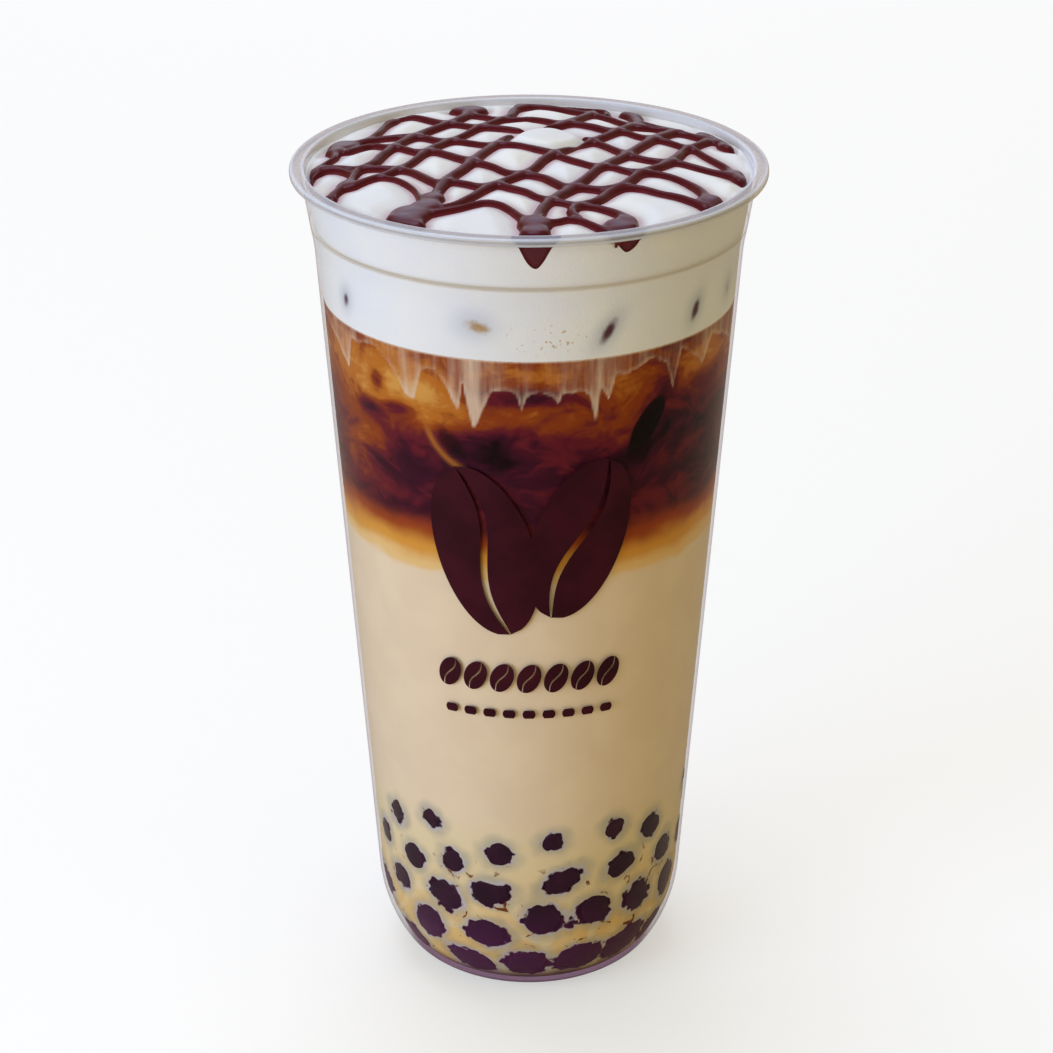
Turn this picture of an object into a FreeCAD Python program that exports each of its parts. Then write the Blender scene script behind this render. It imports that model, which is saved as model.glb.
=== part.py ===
import FreeCAD, Part
import math
import os
import Sketcher
from FreeCAD import Rotation, Vector

# A tall clear plastic cup of layered iced latte: tapioca pearls in milk, coffee over the milk,
# cream foam up to the rim, and chocolate sauce laid to and fro over the foam.
# Millimetres, +Z up. The origin is the middle of the foot, and the front faces -Y.

SIZES = {
    # the cup
    "cup_height": 168.0,
    "rim_radius": 45.0,
    "rim_width": 2.8,
    "rim_thickness": 1.5,
    "rim_rounding": 0.6,
    "wall": 0.8,
    "floor_thickness": 1.4,
    "collar_height": 10.5,
    "collar_draw": 1.5,
    "shoulder_height": 4.0,
    "shoulder_draw": 0.75,
    "wall_taper": 4.03,
    "bend_upper": 30.0,
    "bend_lower": 8.0,
    "bend_split": 32.0,
    "foot_ring": 2.4,
    "foot_recess": 0.6,
    # the drink, as levels above the foot and below the rim
    "coffee_level": 102.0,
    "foam_level": 143.0,
    "foam_below_rim": 1.5,
    "foam_rise": 2.0,
    # the tapioca pearls
    "pearl_radius": 5.2,
    "pearl_press": 0.9,
    "pearl_pitch": 9.4,
    "heap_height": 46.0,
    # the chocolate sauce
    "thin_bead_radius": 1.15,
    "thick_bead_radius": 1.45,
    "sauce_depth": 0.7,
    "sauce_reach": 39.8,
    "pool_radius": 4.4,
    "pool_height": 1.5,
    "sauce_clearance": 0.5,
}

# Each squiggle is one line of sauce that runs to and fro across the foam: its bead's radius,
# its lean in degrees, and its strokes' distances from the middle, uneven as laid by hand.
SQUIGGLES = {
    "thin_bead": ("sizes.thin_bead_radius", -37.0, (-24.5, -15.5, -5.0, 5.5, 16.0, 25.0, 33.0)),
    "thick_bead": ("sizes.thick_bead_radius", 61.0, (35.0, 26.2, 18.8, 8.5, -2.6, -13.6, -22.2)),
}

NODES = ("cup", "latte", "coffee", "cream_foam", "tapioca_pearls", "chocolate_sauce")

# Formulas over the sheet, each written once and bound into every piece that it shapes.
TAPER = "(sizes.wall_taper * 1deg)"
SPLIT = "(sizes.bend_split * 1deg)"
MOUTH = "(sizes.rim_radius - sizes.rim_width)"
COLLAR_Z = "(sizes.cup_height - sizes.collar_height)"
SHOULDER_Z = f"({COLLAR_Z} - sizes.shoulder_height)"
FOAM_TOP = "(sizes.cup_height - sizes.foam_below_rim + sizes.foam_rise)"
DOME_RADIUS = f"(({MOUTH} ^ 2 + sizes.foam_rise ^ 2) / (2 * sizes.foam_rise))"
DOME_Z = f"({FOAM_TOP} - {DOME_RADIUS})"
SEAT_INSET = "(sizes.pearl_radius - sizes.pearl_press)"

doc = FreeCAD.newDocument("layered_latte")
sheet = doc.addObject("Spreadsheet::Sheet", "sizes")
for row, (alias, number) in enumerate(SIZES.items(), start=1):
    sheet.set(f"A{row}", alias)
    sheet.set(f"B{row}", str(number))
    sheet.setAlias(f"B{row}", alias)
doc.recompute()


def value(formula):
    """A formula over the sheet as a plain number."""
    result = sheet.evalExpression(formula)
    return float(getattr(result, "Value", result))


# ---- the side line of the cup, shared by its outside, its inside and the heap of pearls ----


def side(inset, floor):
    """Formulas of one side line: its inset from the cup's outside, and its floor's height.

    From the floor it goes up round a tight bend, then a wide bend, then the tapered wall, the
    shoulder that cups stack on, and the collar under the rim.
    """
    lower = f"(sizes.bend_lower - {inset})"
    upper = f"(sizes.bend_upper - {inset})"
    collar_r = f"({MOUTH} + sizes.wall - sizes.collar_draw - {inset})"
    shoulder_r = f"({collar_r} - sizes.shoulder_draw)"
    split_z = f"({floor} + {lower} * (1 - sin({SPLIT})))"
    wall_z = f"({split_z} + {upper} * (sin({SPLIT}) - sin({TAPER})))"
    wall_r = f"({shoulder_r} - tan({TAPER}) * ({SHOULDER_Z} - {wall_z}))"
    split_r = f"({wall_r} - {upper} * (cos({TAPER}) - cos({SPLIT})))"
    foot_r = f"({split_r} - {lower} * cos({SPLIT}))"
    return {
        "lower": lower,
        "upper": upper,
        "foot": (foot_r, floor),
        "split": (split_r, split_z),
        "wall": (wall_r, wall_z),
        "shoulder": (shoulder_r, SHOULDER_Z),
        "collar": (collar_r, COLLAR_Z),
        "mouth": (f"({MOUTH} + sizes.wall - {inset})", "sizes.cup_height"),
    }


OUTSIDE = side("0", "0")
INSIDE = side("sizes.wall", "sizes.floor_thickness")
SEAT = side(f"(sizes.wall + {SEAT_INSET})", f"(sizes.floor_thickness + {SEAT_INSET})")


class Profile:
    """A closed sketch on a body's XZ plane, with every corner bound to a pair of formulas."""

    def __init__(self, body, name, first):
        self.sketch = body.newObject("Sketcher::SketchObject", name)
        plane = next(f for f in body.Origin.OriginFeatures if f.Role == "XZ_Plane")
        self.sketch.AttachmentSupport = [(plane, "")]
        self.sketch.MapMode = "FlatFace"
        self.first = self.at = first
        self.head = self.tail = None

    def place(self, element, end, kind, formula):
        """Holds one coordinate of an edge's end at a formula."""
        measured = value(formula)
        if abs(measured) < 1e-9:
            axis = -2 if kind == "DistanceX" else -1
            self.sketch.addConstraint(Sketcher.Constraint("PointOnObject", element, end, axis))
            return
        self.hold(Sketcher.Constraint(kind, -1, 1, element, end, measured), formula)

    def hold(self, constraint, formula):
        """Adds a constraint and binds its size to a formula."""
        index = self.sketch.addConstraint(constraint)
        self.sketch.renameConstraint(index, f"size_{index}")
        self.sketch.setExpression(f"Constraints.size_{index}", formula)

    def pin(self, element, end, point):
        self.place(element, end, "DistanceX", point[0])
        self.place(element, end, "DistanceY", point[1])

    def link(self, element, start, end, point):
        """Joins a new edge to the one before it, and pins its far end."""
        if self.tail:
            self.sketch.addConstraint(
                Sketcher.Constraint("Coincident", *self.tail, element, start)
            )
        else:
            self.head = (element, start)
            self.pin(element, start, self.first)
        if point == self.first:
            self.sketch.addConstraint(Sketcher.Constraint("Coincident", element, end, *self.head))
        else:
            self.pin(element, end, point)
        self.tail = (element, end)
        self.at = point

    def line(self, *points):
        """Straight edges through pairs of formulas."""
        for point in points:
            here, there = (Vector(value(p[0]), value(p[1]), 0) for p in (self.at, point))
            element = self.sketch.addGeometry(Part.LineSegment(here, there), False)
            self.link(element, 1, 2, point)

    def bend(self, point, radius, steep, shallow):
        """A round bend of the side line to a pair of formulas, between two slopes of the wall."""
        here, there = (Vector(value(p[0]), value(p[1]), 0) for p in (self.at, point))
        rising = there.y > here.y
        low = here if rising else there
        r, a, b = value(radius), math.radians(value(steep)), math.radians(value(shallow))
        centre = low + Vector(-math.cos(a), math.sin(a), 0) * r
        arc = Part.ArcOfCircle(Part.Circle(centre, Vector(0, 0, 1), r), -a, -b)
        element = self.sketch.addGeometry(arc, False)
        start, end = (1, 2) if rising else (2, 1)
        self.link(element, start, end, point)
        self.hold(Sketcher.Constraint("Radius", element, r), radius)

    def bottom_bends(self, line):
        """Both bends at the bottom of a side line, in the direction that the profile runs."""
        if self.at == line["foot"]:
            self.bend(line["split"], line["lower"], "90", "sizes.bend_split")
            self.bend(line["wall"], line["upper"], "sizes.bend_split", "sizes.wall_taper")
        else:
            self.bend(line["split"], line["upper"], "sizes.bend_split", "sizes.wall_taper")
            self.bend(line["foot"], line["lower"], "90", "sizes.bend_split")


def turn(body, profile, kind, name):
    """Turns a profile about the cup's axis, to add to a body or to cut it."""
    feature = body.newObject(kind, name)
    feature.Profile = profile.sketch
    feature.ReferenceAxis = (profile.sketch, ["V_Axis"])
    feature.Angle = 360.0
    doc.recompute()
    return feature


def bind(item, **formulas):
    for name, formula in formulas.items():
        item.setExpression(name, formula)


def common(name, *parts):
    feature = doc.addObject("Part::MultiCommon", name)
    feature.Shapes = list(parts)
    return feature


def fuse(name, *parts):
    feature = doc.addObject("Part::MultiFuse", name)
    feature.Shapes = list(parts)
    return feature


def cut(name, base, tool):
    feature = doc.addObject("Part::Cut", name)
    feature.Base, feature.Tool = base, tool
    return feature


def ball(name, radius, centre, pole=Vector(0, 0, 1)):
    """A ball, with the pole that its seam starts from turned to one side."""
    feature = doc.addObject("Part::Sphere", name)
    bind(feature, Radius=radius)
    feature.Placement = FreeCAD.Placement(centre, Rotation(Vector(0, 0, 1), pole))
    return feature


def dome(name, radius):
    """A great ball whose top is the foam's dome, laid on its side to keep its seam below."""
    return ball(name, radius, Vector(0, 0, value(DOME_Z)), Vector(1, 0, 0))


# ---- the cup ----


def rings(shape, radius, height):
    """Names of the round edges of a shape at a radius and a height."""
    return [
        f"Edge{i}"
        for i, edge in enumerate(shape.Edges, start=1)
        if isinstance(edge.Curve, Part.Circle)
        and abs(edge.Curve.Radius - radius) < 1e-4
        and abs(edge.Curve.Center.z - height) < 1e-4
    ]


def make_cup():
    """The cup: one thin wall turned about its axis, with a flat rim and a foot ring."""
    body = doc.addObject("PartDesign::Body", "cup")
    rim_low = "(sizes.cup_height - sizes.rim_thickness)"
    draw = "(sizes.collar_draw * sizes.rim_thickness / sizes.collar_height)"
    wall = Profile(body, "wall_section", ("0", "0"))
    wall.line(OUTSIDE["foot"])
    wall.bottom_bends(OUTSIDE)
    wall.line(
        OUTSIDE["shoulder"],
        OUTSIDE["collar"],
        (f"({OUTSIDE['mouth'][0]} - {draw})", rim_low),
        ("sizes.rim_radius", rim_low),
        ("sizes.rim_radius", "sizes.cup_height"),
        INSIDE["mouth"],
        INSIDE["collar"],
        INSIDE["shoulder"],
        INSIDE["wall"],
    )
    wall.bottom_bends(INSIDE)
    wall.line(("0", "sizes.floor_thickness"), ("0", "0"))
    turn(body, wall, "PartDesign::Revolution", "wall_turned")

    ring_r = f"({OUTSIDE['foot'][0]} - sizes.foot_ring)"
    recess = Profile(body, "foot_section", ("0", "0"))
    recess.line(
        (ring_r, "0"),
        (f"({ring_r} - sizes.foot_recess)", "sizes.foot_recess"),
        ("0", "sizes.foot_recess"),
        ("0", "0"),
    )
    whole = body.Shape.Volume
    hollow = turn(body, recess, "PartDesign::Groove", "foot_hollow")
    if body.Shape.Volume >= whole:
        hollow.Reversed = True
        doc.recompute()

    top, outer = value("sizes.cup_height"), value("sizes.rim_radius")
    edges = rings(hollow.Shape, outer, top)
    edges += rings(hollow.Shape, outer, value(rim_low))
    edges += rings(hollow.Shape, value(MOUTH), top)
    rounded = body.newObject("PartDesign::Fillet", "rim_rounding")
    rounded.Base = (hollow, edges)
    bind(rounded, Radius="sizes.rim_rounding")


def make_inside():
    """The space inside the cup and a little over it, which the drink fills."""
    body = doc.addObject("PartDesign::Body", "inside")
    space = Profile(body, "inside_section", ("0", "sizes.floor_thickness"))
    space.line(INSIDE["foot"])
    space.bottom_bends(INSIDE)
    space.line(
        INSIDE["shoulder"],
        INSIDE["collar"],
        INSIDE["mouth"],
        (INSIDE["mouth"][0], "(sizes.cup_height + sizes.foam_rise)"),
        ("0", "(sizes.cup_height + sizes.foam_rise)"),
        ("0", "sizes.floor_thickness"),
    )
    turn(body, space, "PartDesign::Revolution", "inside_turned")
    return body


def slab(name, low, high):
    """A round slab between two levels, wider than the cup."""
    feature = doc.addObject("Part::Cylinder", name)
    bind(feature, Radius="sizes.rim_radius", Height=f"({high} - {low})")
    feature.setExpression("Placement.Base.z", low)
    return feature


# ---- the tapioca pearls ----


def seat(length):
    """Where a pearl lies against the floor and wall, a length out from the middle.

    Gives its centre's reach and height, and how steeply it leans down on the cup, in radians.
    """
    foot, split, wall = ([value(f) for f in SEAT[key]] for key in ("foot", "split", "wall"))
    lower, upper = value(SEAT["lower"]), value(SEAT["upper"])
    taper, halfway = (math.radians(SIZES[key]) for key in ("wall_taper", "bend_split"))
    if length < foot[0]:
        return length, foot[1], math.pi / 2
    length -= foot[0]
    tight, wide = lower * (math.pi / 2 - halfway), upper * (halfway - taper)
    if length < tight:
        dip = math.pi / 2 - length / lower
        return foot[0] + lower * math.cos(dip), foot[1] + lower * (1 - math.sin(dip)), dip
    length -= tight
    if length < wide:
        dip = halfway - length / upper
        reach = split[0] + upper * (math.cos(dip) - math.cos(halfway))
        return reach, split[1] + upper * (math.sin(halfway) - math.sin(dip)), dip
    length -= wide
    return wall[0] + length * math.sin(taper), wall[1] + length * math.cos(taper), taper


def round_axis(reach, height, angle):
    return Vector(reach * math.cos(angle), reach * math.sin(angle), height)


def pearl_places():
    """Each pearl's centre, and the way that it presses on the cup.

    Pearls lie in rings over the floor and up the wall, under a loose top layer.
    """
    pitch, top = value("sizes.pearl_pitch"), value("(sizes.heap_height - sizes.pearl_radius)")
    step = pitch * math.sqrt(3) / 2
    places = [(Vector(0, 0, seat(0)[1]), Vector(0, 0, -1))]
    ring = 1
    while seat(ring * step)[1] <= top:
        count = int(2 * math.pi * seat(ring * step)[0] / pitch)
        for i in range(count):
            lift = 0.12 * pitch * math.sin(3.7 * i + 1.9 * ring) if ring > 2 else 0
            sway = 0.10 * math.sin(5.1 * i + 2.3 * ring)
            angle = 2 * math.pi * (i + 0.5 * (ring % 2) + sway) / count
            reach, height, dip = seat(ring * step + lift)
            press = round_axis(math.cos(dip), -math.sin(dip), angle)
            places.append((round_axis(reach, height, angle), press))
        ring += 1
    inner = seat((ring - 1) * step)[0] - 0.9 * pitch
    layers = int(inner / pitch)
    for layer in range(layers + 1):
        reach = inner * layer / layers
        count = max(1, int(2 * math.pi * reach / pitch))
        for i in range(count):
            height = top - 0.25 * pitch + 0.15 * pitch * math.sin(2.9 * i + 1.3 * layer)
            centre = round_axis(reach, height, 2 * math.pi * i / count + layer)
            places.append((centre, Vector(0, 0, -1)))
    return places


def make_pearls(inside):
    """The heap of pearls: one solid, pressed flat where pearls meet the cup."""
    core = doc.addObject("PartDesign::Body", "heap_core")
    core_top = "(sizes.heap_height - 2 * sizes.pearl_radius)"
    core_r = f"({SEAT['wall'][0]} + tan({TAPER}) * ({core_top} - {SEAT['wall'][1]}))"
    middle = Profile(core, "core_section", ("0", SEAT["foot"][1]))
    middle.line(SEAT["foot"])
    middle.bottom_bends(SEAT)
    middle.line((core_r, core_top), ("0", core_top), ("0", SEAT["foot"][1]))
    turn(core, middle, "PartDesign::Revolution", "core_turned")
    pearls = [
        ball(f"pearl_{i}", "sizes.pearl_radius", centre, press)
        for i, (centre, press) in enumerate(pearl_places())
    ]
    heap = fuse("heap", core, *pearls)
    common("tapioca_pearls", heap, inside)
    return heap


# ---- the chocolate sauce ----


def on_dome(point):
    """A point of the flat plan laid on the foam's dome, where lines and arcs become arcs."""
    radius = value(DOME_RADIUS)
    far = (point.Length / (2 * radius)) ** 2
    flat = point / (1 + far)
    return Vector(flat.x, flat.y, value(FOAM_TOP) - 2 * radius * far / (1 + far))


def squiggle(lean, strokes):
    """The edges of a squiggle laid on the dome, and the middles of its turns."""
    reach = value("sizes.sauce_reach")
    along = Vector(math.cos(math.radians(lean)), math.sin(math.radians(lean)), 0)
    across = Vector(-along.y, along.x, 0)

    def arc(*places):
        return Part.Arc(*(on_dome(along * a + across * b) for a, b in places)).toShape()

    edges, turns = [], []
    heading = 1
    start = -math.sqrt(reach**2 - strokes[0] ** 2)
    for here, following in zip(strokes, strokes[1:]):
        middle, half = (here + following) / 2, abs(following - here) / 2
        end = heading * (math.sqrt(reach**2 - middle**2) - half)
        edges.append(arc((start, here), ((start + end) / 2, here), (end, here)))
        edges.append(arc((end, here), (end + heading * half, middle), (end, following)))
        turns.append(on_dome(along * (end + heading * half / 3) + across * middle))
        start, heading = end, -heading
    last = strokes[-1]
    end = heading * math.sqrt(reach**2 - last**2)
    edges.append(arc((start, last), ((start + end) / 2, last), (end, last)))
    return edges, turns


def make_bead(name, radius, lean, strokes):
    """One round bead of sauce swept along its squiggle."""
    edges, turns = squiggle(lean, strokes)
    path = doc.addObject("Part::Feature", f"{name}_path")
    path.Shape = Part.Wire(edges)
    section = doc.addObject("Part::Circle", f"{name}_section")
    bind(section, Radius=radius)
    first = edges[0]
    section.Placement.Base = first.valueAt(first.FirstParameter)
    section.Placement.Rotation = Rotation(Vector(0, 0, 1), first.tangentAt(first.FirstParameter))
    bead = doc.addObject("Part::Sweep", name)
    bead.Sections = [section]
    bead.Spine = (path, [f"Edge{i}" for i in range(1, len(edges) + 1)])
    bead.Solid = True
    return bead, turns


def make_sauce():
    """Both squiggles of sauce with a flat pool in each turn, sunk a little into the foam."""
    dome_middle = Vector(0, 0, value(DOME_Z))
    pool_ball = "((sizes.pool_radius ^ 2 + sizes.pool_height ^ 2) / (2 * sizes.pool_height))"
    depth = value(f"({pool_ball} - sizes.pool_height)")
    laid = []
    for name, (radius, lean, strokes) in SQUIGGLES.items():
        bead, turns = make_bead(name, radius, lean, strokes)
        laid.append(bead)
        for i, place in enumerate(turns):
            up = (place - dome_middle).normalize()
            laid.append(ball(f"{name}_pool_{i}", pool_ball, place - up * depth))
    room = slab("sauce_room", "sizes.foam_level", f"({FOAM_TOP} + {pool_ball})")
    bind(room, Radius=f"({MOUTH} - sizes.sauce_clearance)")
    under = dome("sauce_under", f"({DOME_RADIUS} - sizes.sauce_depth)")
    return common("chocolate_sauce", fuse("sauce_laid", *laid), cut("sauce_space", room, under))


# ---- the drink ----


def make_drink(inside, heap, sauce):
    """Milk round the pearls, coffee over it, and foam up to its domed top.

    Crumbs of foam that the sauce pinches off beside a pool are left out.
    """
    milk = common("milk_whole", inside, slab("milk_slab", "0", "sizes.coffee_level"))
    cut("latte", milk, heap)
    coffee_slab = slab("coffee_slab", "sizes.coffee_level", "sizes.foam_level")
    common("coffee", inside, coffee_slab)
    foam_slab = slab("foam_slab", "sizes.foam_level", FOAM_TOP)
    foam_whole = common("foam_whole", inside, dome("foam_dome", DOME_RADIUS), foam_slab)
    grooved = cut("foam_grooved", foam_whole, sauce)
    doc.recompute()
    foam = doc.addObject("Part::Feature", "cream_foam")
    foam.Shape = max(grooved.Shape.Solids, key=lambda solid: solid.Volume)


def main():
    make_cup()
    inside = make_inside()
    make_drink(inside, make_pearls(inside), make_sauce())
    doc.recompute()
    for item in doc.Objects:
        if {"Invalid", "Error"} & set(item.State):
            raise RuntimeError(f"{item.Name} failed: {item.State}")
    nodes = [doc.getObject(name) for name in NODES]
    for node in nodes:
        node.Label = node.Name
        if node.Shape.isNull() or not node.Shape.isValid() or len(node.Shape.Solids) != 1:
            raise RuntimeError(f"{node.Name} is not one valid solid")
    os.makedirs("parts", exist_ok=True)
    for node in nodes:
        node.Shape.exportStep(f"parts/{node.Label}.step")
        print(node.Label, f"{node.Shape.Volume / 1000:.1f} ml")


main()
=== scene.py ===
import math

import bpy
import numpy as np
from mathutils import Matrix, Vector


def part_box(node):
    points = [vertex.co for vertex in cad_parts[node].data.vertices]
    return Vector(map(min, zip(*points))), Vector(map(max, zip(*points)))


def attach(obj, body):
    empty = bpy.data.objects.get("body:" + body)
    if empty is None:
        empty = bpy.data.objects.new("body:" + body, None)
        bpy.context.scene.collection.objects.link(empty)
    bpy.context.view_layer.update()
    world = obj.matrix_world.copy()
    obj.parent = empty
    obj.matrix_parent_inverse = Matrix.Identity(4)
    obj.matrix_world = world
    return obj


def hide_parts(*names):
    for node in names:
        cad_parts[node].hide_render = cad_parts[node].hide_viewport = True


# The looks of a layered iced latte with tapioca pearls in a clear plastic cup.
# Every length here is in millimetres until MM turns it into Blender's metres.

MM = 0.001
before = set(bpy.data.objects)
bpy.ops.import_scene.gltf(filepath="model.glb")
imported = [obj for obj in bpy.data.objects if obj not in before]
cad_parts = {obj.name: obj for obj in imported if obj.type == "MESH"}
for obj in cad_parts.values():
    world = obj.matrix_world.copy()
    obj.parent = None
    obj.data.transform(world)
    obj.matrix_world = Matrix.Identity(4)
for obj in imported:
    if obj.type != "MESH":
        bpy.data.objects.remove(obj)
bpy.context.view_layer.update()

# ---- sizes ----

CUP_LOW, CUP_HIGH = (np.array(corner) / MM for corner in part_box("cup"))
CUP_HEIGHT = CUP_HIGH[2] - CUP_LOW[2]
RIM_RADIUS = (CUP_HIGH[0] - CUP_LOW[0]) / 2
RIM_WIDTH, RIM_THICKNESS, RIM_ROUNDING = 2.8, 1.5, 0.6
WALL, FLOOR = 0.8, 1.4
COLLAR_HEIGHT, COLLAR_DRAW = 10.5, 1.5
SHOULDER_HEIGHT, SHOULDER_DRAW = 4.0, 0.75
TAPER, BEND_SPLIT = math.radians(4.03), math.radians(32.0)
BEND_UPPER, BEND_LOWER = 30.0, 8.0
FOOT_RING, FOOT_RECESS = 2.4, 0.6
MOUTH = RIM_RADIUS - RIM_WIDTH

COFFEE_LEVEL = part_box("coffee")[0][2] / MM
FOAM_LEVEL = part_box("coffee")[1][2] / MM
FOAM_BELOW_RIM, FOAM_RISE = 1.4, 1.7
# The drink reaches this far into the cup's wall, so that no air gap shows.
SEAL = 0.15
# Where layers meet, each one's side goes on this far in and up or down behind the other's, so
# that no seam shows.
SKIRT_IN, SKIRT_LONG = 0.25, 1.5
# The cup's radius about where the coffee and where the print lie.
COFFEE_RADIUS, PRINT_RADIUS = 38.0, 37.5

# A pearl on the floor, and how far a pearl at the wall reaches in from its middle.
PEARL_RADIUS, PEARL_DEEP = 5.1, 4.9
FAR = 99.0  # further from every pearl than shows


# ---- noise and small maths ----


def ripple(points, size, seed):
    """Smooth seeded noise, mostly from -1 to 1, with features about as large as size."""
    rng = np.random.default_rng(seed)
    total = np.zeros(len(points))
    for _ in range(14):
        way = rng.normal(size=3)
        way *= 2 * math.pi / (np.linalg.norm(way) * size * rng.uniform(1.4, 3.0))
        total += np.sin(points @ way + rng.uniform(0, 2 * math.pi))
    return total / math.sqrt(14)


def smooth(low, high, x):
    """A smooth step from 0 at low to 1 at high."""
    t = np.clip((x - low) / (high - low), 0, 1)
    return t * t * (3 - 2 * t)


def turn_between(angle, middle):
    """The signed difference of two angles in degrees."""
    return (angle - middle + 180) % 360 - 180


# ---- the cup's side line ----


def side_line(inset, low):
    """Radii and heights along the side, from the foot up to the mouth."""
    lower, upper = BEND_LOWER - inset, BEND_UPPER - inset
    collar = MOUTH + WALL - COLLAR_DRAW - inset
    shoulder = collar - SHOULDER_DRAW
    collar_z = CUP_HEIGHT - COLLAR_HEIGHT
    shoulder_z = collar_z - SHOULDER_HEIGHT
    split_z = low + lower * (1 - math.sin(BEND_SPLIT))
    wall_z = split_z + upper * (math.sin(BEND_SPLIT) - math.sin(TAPER))
    wall_r = shoulder - math.tan(TAPER) * (shoulder_z - wall_z)
    split_r = wall_r - upper * (math.cos(TAPER) - math.cos(BEND_SPLIT))
    foot_r = split_r - lower * math.cos(BEND_SPLIT)
    tight = np.linspace(math.pi / 2, BEND_SPLIT, 14)
    wide = np.linspace(BEND_SPLIT, TAPER, 18)[1:]
    radii = np.concatenate([foot_r + lower * np.cos(tight),
                            split_r + upper * (np.cos(wide) - math.cos(BEND_SPLIT))])
    heights = np.concatenate([low + lower * (1 - np.sin(tight)),
                              split_z + upper * (math.sin(BEND_SPLIT) - np.sin(wide))])
    corners = [(radii[-1], heights[-1]), (shoulder, shoulder_z), (collar, collar_z),
               (MOUTH + WALL - inset, CUP_HEIGHT)]
    eased = rounded(corners, 1.5)[1:]
    return np.concatenate([np.column_stack([radii, heights]), eased])


def rounded(corners, size, steps=5):
    """A line through corners, with each inner corner eased by a short curve."""
    corners = [np.array(c, float) for c in corners]
    line = [corners[0]]
    for before, corner, after in zip(corners, corners[1:], corners[2:]):
        into, out = before - corner, after - corner
        reach = min(size, 0.45 * np.linalg.norm(into), 0.45 * np.linalg.norm(out))
        start = corner + into / np.linalg.norm(into) * reach
        end = corner + out / np.linalg.norm(out) * reach
        for t in np.linspace(0, 1, steps):
            line.append((1 - t) ** 2 * start + 2 * t * (1 - t) * corner + t * t * end)
    line.append(corners[-1])
    return np.array(line)


def evenly(line, step):
    """A line's points at even distances along it."""
    spans = np.linalg.norm(np.diff(line, axis=0), axis=1)
    run = np.concatenate([[0], np.cumsum(spans)])
    at = np.linspace(0, run[-1], int(round(run[-1] / step)) + 1)
    return np.column_stack([np.interp(at, run, line[:, 0]), np.interp(at, run, line[:, 1])])


def radius_at(line, z):
    """The radius of a side line at a height."""
    return np.interp(z, line[:, 1], line[:, 0])


WALL_LINE = side_line(WALL - SEAL, FLOOR - SEAL)


def wall_radius(z):
    """The radius of the drink's side at a height."""
    return radius_at(WALL_LINE, z)


# ---- meshes ----


def add_object(name, data):
    item = bpy.data.objects.new(name, data)
    bpy.context.collection.objects.link(item)
    return item


def make_piece(name, points, faces, material, **fields):
    """A mesh piece in metres, with its fields of one number for each point."""
    mesh = bpy.data.meshes.new(name)
    mesh.from_pydata((np.asarray(points) * MM).tolist(), [], faces)
    mesh.validate()
    mesh.polygons.foreach_set("use_smooth", [True] * len(mesh.polygons))
    for field, values in fields.items():
        layer = mesh.attributes.new(field, "FLOAT", "POINT")
        layer.data.foreach_set("value", np.asarray(values, np.float32))
    mesh.materials.append(material)
    piece = add_object(name, mesh)
    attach(piece, "root")
    return piece


def pairs(first, second):
    """Every pair from two rows of numbers, as two lists, with the second running fastest."""
    return (g.ravel() for g in np.meshgrid(first, second, indexing="ij"))


def ring_faces(rings, around, first=0):
    """Quads between rings of points that each go once round."""
    i, j = pairs(np.arange(rings - 1), np.arange(around))
    a = first + i * around + j
    b = first + i * around + (j + 1) % around
    return np.column_stack([a, b, b + around, a + around]).tolist()


def grid_faces(rows, columns, first=0):
    """Quads between the points of a grid, which run along its rows."""
    i, j = pairs(np.arange(rows - 1), np.arange(columns - 1))
    k = first + i * columns + j
    return np.column_stack([k, k + 1, k + columns + 1, k + columns]).tolist()


def round_points(radius, angle, z):
    """Points about the axis, by their radius, angle from the front in radians, and height."""
    return np.column_stack([radius * np.sin(angle), -radius * np.cos(angle), z])


def turned_points(line, around):
    """Points of a line turned about the axis, ring by ring, and their angles from the front."""
    angles = np.tile(np.linspace(-180, 180, around, endpoint=False), len(line))
    radii, heights = np.repeat(line, around, axis=0).T
    return round_points(radii, np.radians(angles), heights), angles


# ---- materials ----


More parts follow.
